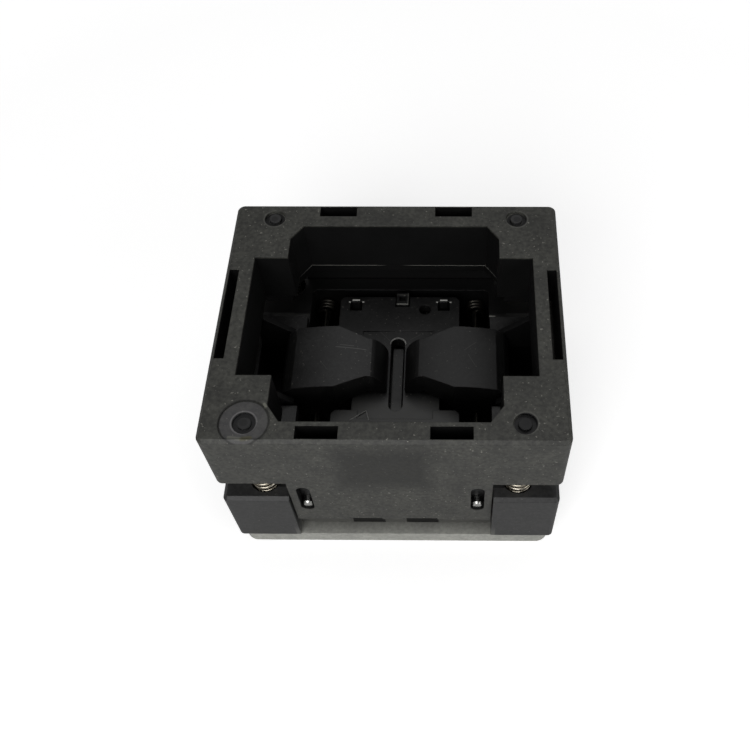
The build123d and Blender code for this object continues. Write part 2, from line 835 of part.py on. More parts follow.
with BuildPart() as contacts:
    with Locations(column_points):
        with GridLocations(0, contact_pitch, 1, contact_rows):
            add(contact.part)
contacts.part.label = "contacts"


os.makedirs("parts", exist_ok=True)
nodes = [
    cover.part,
    base.part,
    bottom_plate.part,
    plate_screws.part,
    latch_left.part,
    latch_right.part,
    adapter_plate.part,
    contact_block.part,
    contact_retainer.part,
    contacts.part,
]
for node in nodes + shafts + cover_springs + latch_springs + adapter_springs:
    export_step(node, f"parts/{node.label}.step")
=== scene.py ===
import math

import bpy
import numpy as np
from bpy.props import FloatProperty, FloatVectorProperty, IntProperty, PointerProperty, StringProperty
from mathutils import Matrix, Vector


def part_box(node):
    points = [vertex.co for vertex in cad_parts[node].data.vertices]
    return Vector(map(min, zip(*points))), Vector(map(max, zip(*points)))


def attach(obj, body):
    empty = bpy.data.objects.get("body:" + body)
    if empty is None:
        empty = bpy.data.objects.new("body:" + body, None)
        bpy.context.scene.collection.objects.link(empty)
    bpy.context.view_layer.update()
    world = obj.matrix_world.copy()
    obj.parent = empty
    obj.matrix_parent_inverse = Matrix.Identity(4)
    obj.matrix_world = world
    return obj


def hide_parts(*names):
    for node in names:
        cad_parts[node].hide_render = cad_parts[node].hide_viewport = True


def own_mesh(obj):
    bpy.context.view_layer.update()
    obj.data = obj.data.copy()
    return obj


bl_info = {
    "name": "Test socket dressing",
    "version": (1, 0, 0),
    "blender": (4, 5, 0),
    "location": "3D View > Sidebar > Test socket",
    "description": "Springs, seat marks, finishes and studio for an open-top test socket",
    "category": "Object",
}

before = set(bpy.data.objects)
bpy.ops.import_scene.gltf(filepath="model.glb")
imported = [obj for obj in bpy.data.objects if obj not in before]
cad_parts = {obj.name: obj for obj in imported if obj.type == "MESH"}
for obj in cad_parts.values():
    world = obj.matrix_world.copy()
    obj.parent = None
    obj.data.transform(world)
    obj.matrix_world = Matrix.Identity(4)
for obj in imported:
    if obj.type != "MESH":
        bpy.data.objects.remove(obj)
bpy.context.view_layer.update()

MM = 0.001

# each corner's name, its side along X and its end along Y
CORNERS = (("front_left", -1, -1), ("back_left", -1, 1), ("front_right", 1, -1), ("back_right", 1, 1))

# where a Mix node keeps the two colours that it takes and the colour that it gives
MIX_FIRST, MIX_SECOND, MIX_RESULT = 6, 7, 2

# widths of the clouds, the fibre flecks and the dust on the plastics, and of the stains on the metals;
# real fibres and dust are finer, and are drawn as coarse as they need to show
CLOUD_WIDTH = 3.4 * MM
FLECK_WIDTH = 0.45 * MM
DUST_WIDTH = 0.3 * MM
STAIN_WIDTH = 1.1 * MM

# radius that the light finds on the plastics' edges
EDGE_RADIUS = 0.12 * MM

# soft edge of a moulded mark, how far it reaches down from its middle, and the height it fades over there
MARK_BLUR = 0.05 * MM
MARK_DEPTH = 0.5 * MM
MARK_FADE = 0.06 * MM

# depth of the lines that drawing and grinding leave in the metals; lines and depth are coarser than the
# real ones, so that they show
LINE_DEPTH = 0.002 * MM

# steps to a turn and sides of the wire, of the large coils and of the small ones
COIL_STEPS, WIRE_SIDES = 32, 10
SMALL_COIL_STEPS, SMALL_WIRE_SIDES = 24, 8

# sides of the section of the seat's raised bars
BAR_SIDES = 20


def linear(hex_colour):
    """Turn an sRGB hex value such as "3E3E3A" into linear red, green, blue and alpha."""
    values = [int(hex_colour[i:i + 2], 16) / 255 for i in (0, 2, 4)]
    return [v / 12.92 if v <= 0.04045 else ((v + 0.055) / 1.055) ** 2.4 for v in values] + [1.0]


def add_node(tree, kind, settings=None, links=None):
    """Add one node, set its attributes or its inputs' values, and link its inputs, by name or number."""
    node = tree.nodes.new(kind)
    for name, value in (settings or {}).items():
        if isinstance(name, str) and hasattr(node, name):
            setattr(node, name, value)
        else:
            node.inputs[name].default_value = value
    for name, socket in (links or {}).items():
        tree.links.new(node.inputs[name], socket)
    return node


def start_material(name):
    """A new node material: its tree, its shader and the object coordinates."""
    material = bpy.data.materials.new(name)
    material.use_nodes = True
    tree = material.node_tree
    shader = tree.nodes["Principled BSDF"]
    coords = add_node(tree, "ShaderNodeTexCoord").outputs["Object"]
    return material, tree, shader, coords


def box_mask(tree, coords, low, high, soft):
    """1 inside the box between two corners and 0 outside it. It fades over a soft rim inside the faces,
    whose width is one value or one for each axis. All sizes are in millimetres."""
    low, high = np.array(low) * MM, np.array(high) * MM
    rim = np.broadcast_to(soft, 3) * MM
    moved = add_node(tree, "ShaderNodeVectorMath", {"operation": "SUBTRACT", 1: (low + high) / 2},
                     {0: coords})
    away = add_node(tree, "ShaderNodeVectorMath", {"operation": "ABSOLUTE"}, {0: moved.outputs[0]})
    inside = add_node(tree, "ShaderNodeVectorMath", {"operation": "SUBTRACT", 0: (high - low) / 2},
                      {1: away.outputs[0]})
    share = add_node(tree, "ShaderNodeVectorMath", {"operation": "DIVIDE", 1: rim},
                     {0: inside.outputs[0]})
    axes = add_node(tree, "ShaderNodeSeparateXYZ", links={0: share.outputs[0]}).outputs
    least = add_node(tree, "ShaderNodeMath", {"operation": "MINIMUM"},
                     {0: axes["X"], 1: axes["Y"]}).outputs[0]
    return add_node(tree, "ShaderNodeMath", {"operation": "MINIMUM", "use_clamp": True},
                    {0: least, 1: axes["Z"]}).outputs[0]


def scratch_mask(tree, coords, start, end, width):
    """1 along a straight scratch seen from above, fading to 0 from half its width away to its full width
    away. The nearest point of the scratch is start + t * (end - start), with t held between 0 and 1.
    All sizes are in millimetres."""
    start, end = np.array(start) * MM, np.array(end) * MM
    run = end - start
    level = add_node(tree, "ShaderNodeVectorMath", {"operation": "MULTIPLY", 1: (1, 1, 0)},
                     {0: coords}).outputs[0]
    away = add_node(tree, "ShaderNodeVectorMath", {"operation": "SUBTRACT", 1: start},
                    {0: level}).outputs[0]
    along = add_node(tree, "ShaderNodeVectorMath", {"operation": "DOT_PRODUCT", 1: run / (run @ run)},
                     {0: away}).outputs["Value"]
    held = add_node(tree, "ShaderNodeClamp", links={"Value": along}).outputs[0]
    reach = add_node(tree, "ShaderNodeVectorMath", {"operation": "SCALE", 0: run},
                     {"Scale": held}).outputs[0]
    gap = add_node(tree, "ShaderNodeVectorMath", {"operation": "DISTANCE"},
                   {0: away, 1: reach}).outputs["Value"]
    return add_node(tree, "ShaderNodeMapRange", {"From Min": width * MM, "From Max": width / 2 * MM},
                    {"Value": gap}).outputs[0]


def tint(tree, colour, shade, mask, strength):
    """Blend a plain colour over another, by a mask from 0 to 1 times a strength from 0 to 1."""
    share = add_node(tree, "ShaderNodeMath", {"operation": "MULTIPLY", 1: strength}, {0: mask}).outputs[0]
    return add_node(tree, "ShaderNodeMix", {"data_type": "RGBA", MIX_SECOND: linear(shade)},
                    {0: share, MIX_FIRST: colour}).outputs[MIX_RESULT]


def tint_boxes(tree, coords, colour, boxes):
    """Blend plain colours over another in boxes. A box is its low corner, its high corner and its soft
    rim, all in millimetres, then its shade and the strength of the shade."""
    for low, high, soft, shade, strength in boxes:
        colour = tint(tree, colour, shade, box_mask(tree, coords, low, high, soft), strength)
    return colour


def ring_marks(tree, coords, colour, middle, mirrored, shades):
    """Blend the painted shade and highlights of a round moulded mark over a colour, as seen from above, from
    half a millimetre below its middle upwards. Each shade fills the ring between two radii with a strength,
    and a mirrored mark lies in all four corners. Middle and radii are in millimetres."""
    middle = np.array(middle) * MM
    spot = coords
    if mirrored:
        spot = add_node(tree, "ShaderNodeVectorMath", {"operation": "ABSOLUTE"}, {0: coords}).outputs[0]
    moved = add_node(tree, "ShaderNodeVectorMath", {"operation": "SUBTRACT", 1: middle},
                     {0: spot}).outputs[0]
    level = add_node(tree, "ShaderNodeVectorMath", {"operation": "MULTIPLY", 1: (1, 1, 0)},
                     {0: moved}).outputs[0]
    radius = add_node(tree, "ShaderNodeVectorMath", {"operation": "LENGTH"}, {0: level}).outputs["Value"]
    height = add_node(tree, "ShaderNodeSeparateXYZ", links={0: coords}).outputs["Z"]
    lowest = middle[2] - MARK_DEPTH
    near_top = add_node(tree, "ShaderNodeMapRange", {"From Min": lowest, "From Max": lowest + MARK_FADE},
                        {"Value": height}).outputs[0]
    for inner, outer, shade, strength in shades:
        inner, outer = inner * MM, outer * MM
        past = add_node(tree, "ShaderNodeMapRange",
                        {"From Min": inner - MARK_BLUR, "From Max": inner + MARK_BLUR},
                        {"Value": radius}).outputs[0]
        within = add_node(tree, "ShaderNodeMapRange",
                          {"From Min": outer + MARK_BLUR, "From Max": outer - MARK_BLUR},
                          {"Value": radius}).outputs[0]
        ring = add_node(tree, "ShaderNodeMath", {"operation": "MULTIPLY"},
                        {0: past, 1: within}).outputs[0]
        mask = add_node(tree, "ShaderNodeMath", {"operation": "MULTIPLY"},
                        {0: ring, 1: near_top}).outputs[0]
        colour = tint(tree, colour, shade, mask, strength)
    return colour


def moulded_plastic(name, dark, light, grain, depth, roughness, boxes=(), marks=(), scratches=(),
                    dust=0.0):
    """A hard plastic filled with short fibres. Clouds and fine flecks between a dark and a light shade make
    it look uneven and matt, a grain of a given width and depth breaks up its glints, and its edges catch a
    thin line of light. Boxes, marks and scratches are places with a shade of their own, among them painted
    light and painted shade, and dust is the strength of its pale specks."""
    material, tree, shader, coords = start_material(name)
    cloud = add_node(tree, "ShaderNodeTexNoise",
                     {"Scale": 1 / CLOUD_WIDTH, "Detail": 6.0, "Roughness": 0.66},
                     {"Vector": coords}).outputs["Fac"]
    fleck = add_node(tree, "ShaderNodeTexNoise",
                     {"Scale": 1 / FLECK_WIDTH, "Detail": 2.0, "Roughness": 0.6},
                     {"Vector": coords}).outputs["Fac"]
    blend = add_node(tree, "ShaderNodeMath", {"operation": "MULTIPLY"}, {0: cloud, 1: fleck}).outputs[0]
    share = add_node(tree, "ShaderNodeMapRange", {"From Min": 0.14, "From Max": 0.38},
                     {"Value": blend}).outputs[0]
    colour = add_node(tree, "ShaderNodeMix",
                      {"data_type": "RGBA", MIX_FIRST: linear(dark), MIX_SECOND: linear(light)},
                      {0: share}).outputs[MIX_RESULT]
    if dust:
        specks = add_node(tree, "ShaderNodeTexNoise", {"Scale": 1 / DUST_WIDTH, "Detail": 1.0},
                          {"Vector": coords}).outputs["Fac"]
        brightest = add_node(tree, "ShaderNodeMapRange", {"From Min": 0.70, "From Max": 0.78},
                             {"Value": specks}).outputs[0]
        colour = tint(tree, colour, "A8A69C", brightest, dust)
    colour = tint_boxes(tree, coords, colour, boxes)
    for middle, mirrored, shades in marks:
        colour = ring_marks(tree, coords, colour, middle, mirrored, shades)
    for start, end, width, shade, strength in scratches:
        colour = tint(tree, colour, shade, scratch_mask(tree, coords, start, end, width), strength)
    tree.links.new(shader.inputs["Base Color"], colour)
    rough = add_node(tree, "ShaderNodeMapRange", {"To Min": roughness - 0.08, "To Max": roughness + 0.12},
                     {"Value": cloud}).outputs[0]
    tree.links.new(shader.inputs["Roughness"], rough)
    skin = add_node(tree, "ShaderNodeTexNoise", {"Scale": 1 / grain, "Detail": 3.0, "Roughness": 0.7},
                    {"Vector": coords}).outputs["Fac"]
    round_edge = add_node(tree, "ShaderNodeBevel", {"samples": 4, "Radius": EDGE_RADIUS}).outputs[0]
    bump = add_node(tree, "ShaderNodeBump", {"Strength": 0.5, "Distance": depth},
                    {"Height": skin, "Normal": round_edge}).outputs[0]
    tree.links.new(shader.inputs["Normal"], bump)
    shader.inputs["IOR"].default_value = 1.6
    shader.inputs["Specular IOR Level"].default_value = 0.35
    return material


def metal(name, colour, dark, roughness, lines, depth, boxes=()):
    """Bare metal. Fine lines streak its glints, and stains run between its own colour and a darker one.
    Lines are counted per millimetre along X, Y and Z, and depth is theirs. Boxes are places darkened with
    painted shade."""
    material, tree, shader, coords = start_material(name)
    stretched = add_node(tree, "ShaderNodeMapping", {"Scale": np.array(lines) / MM},
                         {"Vector": coords}).outputs[0]
    streaks = add_node(tree, "ShaderNodeTexNoise", {"Scale": 1.0, "Detail": 3.0},
                       {"Vector": stretched}).outputs["Fac"]
    stain = add_node(tree, "ShaderNodeTexNoise", {"Scale": 1 / STAIN_WIDTH, "Detail": 2.0},
                     {"Vector": coords}).outputs["Fac"]
    share = add_node(tree, "ShaderNodeMapRange", {"From Min": 0.35, "From Max": 0.75},
                     {"Value": stain}).outputs[0]
    shade = add_node(tree, "ShaderNodeMix",
                     {"data_type": "RGBA", MIX_FIRST: linear(colour), MIX_SECOND: linear(dark)},
                     {0: share}).outputs[MIX_RESULT]
    shade = tint_boxes(tree, coords, shade, boxes)
    tree.links.new(shader.inputs["Base Color"], shade)
    rough = add_node(tree, "ShaderNodeMapRange", {"To Min": roughness - 0.06, "To Max": roughness + 0.1},
                     {"Value": streaks}).outputs[0]
    tree.links.new(shader.inputs["Roughness"], rough)
    bump = add_node(tree, "ShaderNodeBump", {"Strength": 0.4, "Distance": depth},
                    {"Height": streaks}).outputs[0]
    tree.links.new(shader.inputs["Normal"], bump)
    shader.inputs["Metallic"].default_value = 1.0
    return material


def finish_node(name, material):
    """Give one carried-over CAD node its material."""
    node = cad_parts[name]
    node.data.materials.clear()
    node.data.materials.append(material)


def grid_mesh(name, surfaces, closed):
    """One smooth mesh of surfaces given as points[u, v], with quads between neighbours that face the way
    of du x dv. Closed surfaces are joined round in v, and a fan to the middle of each end ring caps them."""
    vertices, faces, start = [], [], 0
    for points in surfaces:
        count_u, count_v = points.shape[:2]
        index = start + np.arange(count_u * count_v).reshape(count_u, count_v)
        vertices.append(points.reshape(-1, 3))
        start += count_u * count_v
        if closed:
            index = np.hstack([index, index[:, :1]])
        quads = np.stack([index[:-1, :-1], index[1:, :-1], index[1:, 1:], index[:-1, 1:]], axis=-1)
        faces += quads.reshape(-1, 4).tolist()
        if closed:
            first, last = np.full(count_v, start), np.full(count_v, start + 1)
            vertices.append(np.stack([points[0].mean(axis=0), points[-1].mean(axis=0)]))
            start += 2
            faces += np.stack([first, index[0, :-1], index[0, 1:]], axis=-1).tolist()
            faces += np.stack([last, index[-1, 1:], index[-1, :-1]], axis=-1).tolist()
    mesh = bpy.data.meshes.new(name)
    mesh.from_pydata(np.vstack(vertices).tolist(), [], faces)
    mesh.polygons.foreach_set("use_smooth", np.ones(len(mesh.polygons), bool))
    mesh.update()
    return mesh


def tube(path, outward, radius, sides):
    """Rings round a path: point = path + radius * (cos v * outward + sin v * (outward x tangent)),
    where outward is made square to the path's tangent at each point."""
    tangent = np.gradient(path, axis=0)
    tangent /= np.linalg.norm(tangent, axis=1, keepdims=True)
    outward = outward - tangent * np.sum(outward * tangent, axis=1, keepdims=True)
    outward /= np.linalg.norm(outward, axis=1, keepdims=True)
    side = np.cross(outward, tangent)
    angle = np.linspace(0, 2 * np.pi, sides, endpoint=False)
    ring = np.cos(angle)[None, :, None] * outward[:, None] + np.sin(angle)[None, :, None] * side[:, None]
    return path[:, None] + radius * ring


def bar(path, base, top, width):
    """A low rounded bar along a level path of X and Y. Its section is the superellipse
    (width / 2 * c, middle + height / 2 * s), where c and s are the square roots of cosine and sine with
    their signs kept."""
    flat = np.column_stack([path, np.full(len(path), (base + top) / 2)])
    tangent = np.gradient(flat, axis=0)
    tangent /= np.linalg.norm(tangent, axis=1, keepdims=True)
    side = np.cross(tangent, (0, 0, 1))
    angle = np.linspace(0, 2 * np.pi, BAR_SIDES, endpoint=False)
    c = np.sign(np.cos(angle)) * np.sqrt(np.abs(np.cos(angle))) * width / 2
    s = np.sign(np.sin(angle)) * np.sqrt(np.abs(np.sin(angle))) * (top - base) / 2
    return flat[:, None] + c[None, :, None] * side[:, None] + s[None, :, None] * np.array([0, 0, 1.0])


def screw_surface(head, shank, bottom, top):
    """A countersunk screw with its axis on Z and its head below. Rings run from the middle of the head's
    face to its rim, up the cone and up the shank. The arms of the cross recess are
    0.5 mm * (1 - r / (0.62 * head)) ** 0.6 deep, and the thread's radius is
    shank - 0.1 mm + 0.07 mm * (0.5 + 0.5 * cos(2 pi z / 0.45 mm - angle))."""
    recess_depth, recess_reach, arm_half, arm_wall = 0.5 * MM, 0.62 * head, 0.2 * MM, 0.05 * MM
    root, thread_depth, thread_pitch, plain = shank - 0.1 * MM, 0.07 * MM, 0.45 * MM, 0.6 * MM
    sides, head_rings, shank_rings, thread_end = 96, 40, 90, 0.98
    angle = np.linspace(2 * np.pi, 0, sides, endpoint=False)
    r = np.linspace(0.001 * MM, head, head_rings)[:, None]
    x, y = r * np.cos(angle), r * np.sin(angle)
    on_arm = np.clip((arm_half - np.minimum(np.abs(x), np.abs(y))) / arm_wall, 0, 1)
    fall = np.clip(1 - r / recess_reach, 0, 1) ** 0.6
    face = np.stack([x, y, bottom + recess_depth * on_arm * fall], axis=-1)
    up = np.linspace(0, 1, shank_rings)[1:, None]
    z = bottom + up * (top - bottom)
    threaded = (z > bottom + head - shank + plain) & (up < thread_end)
    wave = thread_depth * (0.5 + 0.5 * np.cos(2 * np.pi * z / thread_pitch - angle))
    reach = np.maximum(head - (z - bottom), root) + np.where(threaded, wave, 0)
    z = np.broadcast_to(z, reach.shape)
    body = np.stack([reach * np.cos(angle), reach * np.sin(angle), z], axis=-1)
    return np.concatenate([face, body])


def place(name, mesh, body, material, replaced=()):
    """Put a finished mesh in the scene as a piece that rides on a body."""
    piece = bpy.data.objects.new(name, mesh)
    bpy.context.scene.collection.objects.link(piece)
    mesh.materials.append(material)
    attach(piece, body)
    if replaced:
        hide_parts(*replaced)
    return piece


def compression_coil(centre, bottom, top, radius, wire, turns, steps):
    """Middle line of a spring with closed ends, and the directions away from its axis. Its angle is 2 pi
    times the turn. Its height is 0.98 * wire * turn, plus the rest of the room, which the turns further
    than 0.9 turns from both ends share, with a start and an end of half a turn."""
    closed_turns, easing_turns, closed_pitch = 0.9, 0.5, 0.98 * wire
    turn = np.linspace(0, turns, int(turns * steps) + 1)
    ends = np.clip(np.minimum(turn, turns - turn), 0, closed_turns + easing_turns)
    pitch = np.where(ends < closed_turns, 0.0, (ends - closed_turns) / easing_turns)
    rise = np.concatenate([[0.0], np.cumsum((pitch[1:] + pitch[:-1]) / 2)])
    closed = closed_pitch * turn
    spare = (top - bottom - wire) - closed[-1]
    height = bottom + wire / 2 + closed + spare * rise / rise[-1]
    angle = 2 * np.pi * turn
    outward = np.stack([np.cos(angle), np.sin(angle), np.zeros_like(angle)], axis=1)
    path = outward * (radius - wire / 2) + np.array([centre[0], centre[1], 0])
    path[:, 2] = height
    return path, outward


def torsion_coil(radius, leg_start, coil_start, pitch, turns, drop):
    """Middle line of a spring round the Y axis, and the directions away from that axis. A leg lies along
    Y on top, then comes the coil (radius * sin a, coil_start + pitch * turn - easing, radius * cos a)
    with a = 2 pi * turn and easing = 0.3 mm * exp(-9 * turn), and then a leg straight down."""
    easing, easing_rate = 0.3 * MM, 9
    leg_steps, fall_steps = 24, 14
    leg = np.linspace(leg_start, coil_start - easing, leg_steps)
    turn = np.linspace(0, turns, int(turns * COIL_STEPS) + 1)
    fall = np.linspace(0, drop, fall_steps)[1:]
    angle = 2 * np.pi * turn
    along = coil_start + pitch * turn - easing * np.exp(-easing_rate * turn)
    coil_end = np.full_like(fall, coil_start + pitch * turns)
    path = np.vstack([
        np.column_stack([np.zeros_like(leg), leg, np.full_like(leg, radius)]),
        np.column_stack([radius * np.sin(angle), along, radius * np.cos(angle)]),
        np.column_stack([np.full_like(fall, radius), coil_end, -fall]),
    ])
    outward = np.vstack([
        np.tile((0.0, 0.0, 1.0), (len(leg), 1)),
        np.column_stack([np.sin(angle), np.zeros_like(angle), np.cos(angle)]),
        np.tile((1.0, 0.0, 0.0), (len(fall), 1)),
    ])
    return path, outward


def node_ends(name):
    """Middle, lowest height and highest height of a CAD node."""
    low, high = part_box(name)
    return ((low[0] + high[0]) / 2, (low[1] + high[1]) / 2), low[2], high[2]


def slide_spring(node, name, radius, wire, turns, steps, sides, material):
    """Make one round coil in place of a CAD node. Gives the piece, its lowest and its highest height."""
    centre, bottom, top = node_ends(node)
    path, outward = compression_coil(centre, bottom, top, radius, wire, turns, steps)
    mesh = grid_mesh(name, [tube(path, outward, wire / 2, sides)], closed=True)
    return place(name, mesh, "base", material, [node]), bottom, top


def cover_plastic(colours):
    """Matt grey skin off spark-eroded steel, cloudy and flecked, with round marks over the springs. Painted
    shade makes its inner faces nearly black, and it carries painted highlights on the lip and on the rims of
    the marks, and a painted dark reflection on the middle of the front."""
    core = colours.core
    boxes = (
        # painted shade in the opening, its side arms and the wider room below the rim
        ((-12.95, -14.6, 5.0), (12.95, 14.6, 25.75), 0.02, core, 1.0),
        ((-17.95, -9.7, 5.0), (17.95, 9.4, 25.75), 0.02, core, 1.0),
        ((-15.0, -16.2, 5.0), (15.0, 16.2, 18.0), 0.02, core, 1.0),
        # painted shade in the pockets in the rim, at the back, the front, the right and the left
        ((-9.55, 14.9, 20.0), (9.55, 16.6, 25.9), 0.02, core, 1.0),
        ((-9.55, -16.6, 20.0), (9.55, -14.9, 25.9), 0.02, core, 1.0),
        ((18.36, -6.45, 20.0), (19.6, 6.45, 25.9), 0.02, core, 1.0),
        ((-19.6, -6.45, 20.0), (-18.36, 6.45, 25.9), 0.02, core, 1.0),
        # painted shade in the two slots of the front skirt
        ((-11.15, -16.93, 8.7), (-9.25, -15.0, 15.1), 0.02, core, 1.0),
        ((9.25, -16.93, 8.7), (11.15, -15.0, 15.1), 0.02, core, 1.0),
        # a painted highlight on the lower edge of the lip at the back of the opening
        ((-13.2, 10.0, 18.16), (-1.5, 14.4, 18.38), (1.6, 0.02, 0.04), "B4B4AC", 1.0),
        ((0.5, 10.0, 18.16), (13.2, 14.4, 18.38), (1.6, 0.02, 0.04), "B4B4AC", 1.0),
        # a painted dark reflection on the middle of the front
        ((-6.6, -22.0, 13.8), (5.8, -12.0, 25.9), (2.2, 0.5, 3.0), "161614", 0.68),
    )
    marks = (
        # the round marks in the four corners: darker centres, painted shade in their grooves and a pale rim
        # of painted highlight
        ((15.1, 14.5, 26.0), True,
         ((0.0, 0.76, "2A2A2C", 0.8), (0.0, 0.42, "0E0E10", 0.6), (0.76, 1.26, "030305", 1.0),
          (1.24, 1.42, "80807A", 0.22))),
        # a darker one at the front right, with painted shade over its centre and groove, and at the front
        # left painted shade in the groove, a painted highlight round it and a wide ring, paler inside a dark
        # circle
        ((15.1, -14.5, 26.0), False, ((0.0, 1.25, "050507", 0.85),)),
        ((-15.1, -14.5, 26.0), False,
         ((0.0, 0.76, "08080A", 0.4), (0.76, 1.28, "050507", 0.85), (1.3, 1.48, "A09CA4", 0.25),
          (2.58, 2.78, "10100E", 0.75), (1.5, 2.56, "5C5A60", 0.3))),
    )
    # chips at the front left corner
    scratches = (
        ((-16.4, -16.35, 0), (-15.3, -16.5, 0), 0.3, "8C8C80", 0.45),
        ((-15.0, -16.5, 0), (-14.2, -16.4, 0), 0.35, "5A5636", 0.6),
        ((-13.1, -12.3, 0), (-12.9, -12.6, 0), 0.2, "8C8C80", 0.5),
    )
    return moulded_plastic("moulded_pes_spark_textured", colours.cover_dark, colours.cover_light,
                           0.16 * MM, 0.02 * MM, 0.5, boxes, marks, scratches, dust=0.5)


def base_plastic(colours):
    """Smoother and darker than the cover, with painted shade that makes it nearly black in the well. Painted
    light makes its front wall pale towards the light plate below and its posts bright on top, with a painted
    highlight on one edge."""
    core = colours.core
    boxes = (
        # painted shade in the well, the room in front of it and behind it, and on the back of the base
        ((-18.2, -13.9, 2.0), (18.2, 13.9, 12.55), 0.02, core, 1.0),
        ((-14.3, -15.8, 2.0), (14.3, 15.8, 12.7), 0.05, core, 1.0),
        ((-18.6, 9.9, 2.0), (18.6, 16.9, 12.7), 0.05, core, 1.0),
        # painted light on the tops of the back posts, and a painted highlight on an edge of the right one
        ((-17.2, 5.0, 12.3), (-11.9, 9.9, 13.2), (0.6, 0.6, 0.1), "646462", 0.85),
        ((11.9, 5.0, 12.3), (17.2, 9.9, 13.2), (0.6, 0.6, 0.1), "484846", 0.8),
        ((11.6, 9.3, 12.3), (12.9, 9.5, 13.2), (0.2, 0.03, 0.1), "D0D0C8", 0.9),
        # painted light on the foot of the front wall, paler towards the plate, apart from the places behind
        # the notches of the skirt
        ((-12.6, -18.0, -1.0), (-5.4, -15.0, 4.8), (0.1, 0.5, 3.0), "8E8E88", 0.45),
        ((-1.4, -18.0, -1.0), (1.4, -15.0, 4.8), (0.1, 0.5, 3.0), "8E8E88", 0.45),
        ((5.4, -18.0, -1.0), (12.6, -15.0, 4.8), (0.1, 0.5, 3.0), "8E8E88", 0.45),
    )
    return moulded_plastic("moulded_pes_fine_textured", colours.base_dark, colours.base_light,
                           0.12 * MM, 0.01 * MM, 0.45, boxes, dust=0.2)


def latch_plastic(colours):
    """Dark satin skin with thin scratches where packages rubbed along it, and painted shade below its domes,
    on its noses and over its outer ends.
    """
    core = colours.core
    boxes = (
        # painted shade below the domes, on the noses, on the outer ends under the side arms, and a little
        # over all of the right latch
        ((-17.0, -5.0, 4.0), (17.0, 5.0, 15.3), 1.2, core, 0.9),
        ((-2.75, -5.0, 4.0), (2.75, 5.0, 16.6), 0.25, core, 0.95),
        ((-18.0, -6.0, 10.0), (-11.4, 6.0, 20.0), (2.4, 0.5, 0.5), core, 0.75),
        ((11.6, -6.0, 10.0), (18.0, 6.0, 20.0), (2.4, 0.5, 0.5), core, 0.8),
        ((1.0, -8.0, 9.0), (18.0, 8.0, 20.0), 1.0, core, 0.5),
    )
    scratches = (
        ((-7.43, 1.31, 0), (-3.66, 1.03, 0), 0.06, "7C7C78", 0.4),
        ((-6.9, 1.62, 0), (-5.2, 1.5, 0), 0.05, "6C6C68", 0.45),
        ((-9.1, -0.9, 0), (-8.2, -2.1, 0), 0.05, "5C5C58", 0.3),
        ((8.6, 0.9, 0), (10.1, 2.2, 0), 0.05, "5C5C58", 0.3),
        ((9.9, -1.2, 0), (9.1, 0.3, 0), 0.06, "5C5C58", 0.25),
    )
    return moulded_plastic("moulded_pei_satin", colours.latch_dark, colours.latch_light,
                           0.2 * MM, 0.008 * MM, 0.42, boxes, scratches=scratches, dust=0.3)


def seat_plastic(colours):
    """Black satin skin with a few scratches. Painted light makes it grey at the front and pale in short
    strokes beside the end of the slot, and painted highlights line the edges of the hooks and the key.
    """
    boxes = (
        # painted light on the front, painted highlights on the edges of the left and the right hook, then on
        # three edges of the key
        ((-8.1, -14.2, 10.0), (8.1, -3.0, 15.5), (1.5, 1.5, 1.0), "4A4A48", 0.9),
        ((-7.0, 11.34, 12.9), (-4.8, 11.56, 14.5), (0.2, 0.02, 0.05), "E0E0DA", 1.0),
        ((4.8, 11.34, 12.9), (7.0, 11.56, 14.5), (0.2, 0.02, 0.05), "E0E0DA", 1.0),
        ((-0.5, 10.7, 13.2), (1.2, 10.9, 14.5), (0.1, 0.02, 0.05), "8A8A84", 0.8),
        ((1.03, 10.8, 13.2), (1.2, 12.7, 14.5), (0.02, 0.1, 0.05), "6A6A66", 0.7),
        ((-0.5, 12.3, 13.2), (1.2, 12.42, 14.5), (0.1, 0.02, 0.05), "6A6A66", 0.6),
    )
    scratches = (
        ((2.1, -9.2, 0), (4.6, -9.9, 0), 0.06, "6A6A66", 0.4),
        ((-4.6, -8.9, 0), (-1.9, -9.6, 0), 0.05, "6A6A66", 0.35),
        # painted light in short pale strokes on the lit seat beside the end of the slot
        ((-2.4, 6.6, 0), (-1.1, 5.2, 0), 0.06, "4C4C4A", 0.5),
        ((1.6, 5.4, 0), (2.9, 6.2, 0), 0.06, "4C4C4A", 0.5),
    )
    return moulded_plastic("moulded_pei_seat", colours.seat_dark, colours.seat_light,
                           0.2 * MM, 0.008 * MM, 0.4, boxes, scratches=scratches, dust=0.3)


def plate_plastic(colours):
    """Pale, evenly clouded laminate, with painted shade on the strip that lies in front of the base."""
    boxes = (((-13.5, -17.3, 1.9), (13.5, -10.0, 2.8), (0.4, 1.7, 0.1), "2C2C2A", 0.62),)
    return moulded_plastic("machined_grey_laminate", colours.plate_dark, colours.plate_light,
                           0.3 * MM, 0.006 * MM, 0.5, boxes)


class SocketSprings(bpy.types.PropertyGroup):
    cover_radius: FloatProperty(name="Cover spring radius",
                                description="Outer radius of the cover's springs",
                                default=1.72 * MM, unit="LENGTH")
    cover_wire: FloatProperty(name="Cover spring wire",
                              description="Wire diameter of the cover's springs",
                              default=0.42 * MM, unit="LENGTH")
    cover_turns: FloatProperty(name="Cover spring turns", description="Turns of the cover's springs",
                               default=10.5)
    seat_radius: FloatProperty(name="Seat spring radius",
                               description="Outer radius of the seat's springs",
                               default=0.8 * MM, unit="LENGTH")
    seat_wire: FloatProperty(name="Seat spring wire", description="Wire diameter of the seat's springs",
                             default=0.25 * MM, unit="LENGTH")
    seat_turns: FloatProperty(name="Seat spring turns", description="Turns of the seat's springs",
                              default=6.0)
    torsion_wire: FloatProperty(name="Latch spring wire",
                                description="Wire diameter of the latches' springs",
                                default=0.44 * MM, unit="LENGTH")
    torsion_turns: IntProperty(name="Latch spring turns",
                               description="Whole turns of the latches' springs",
                               default=3)


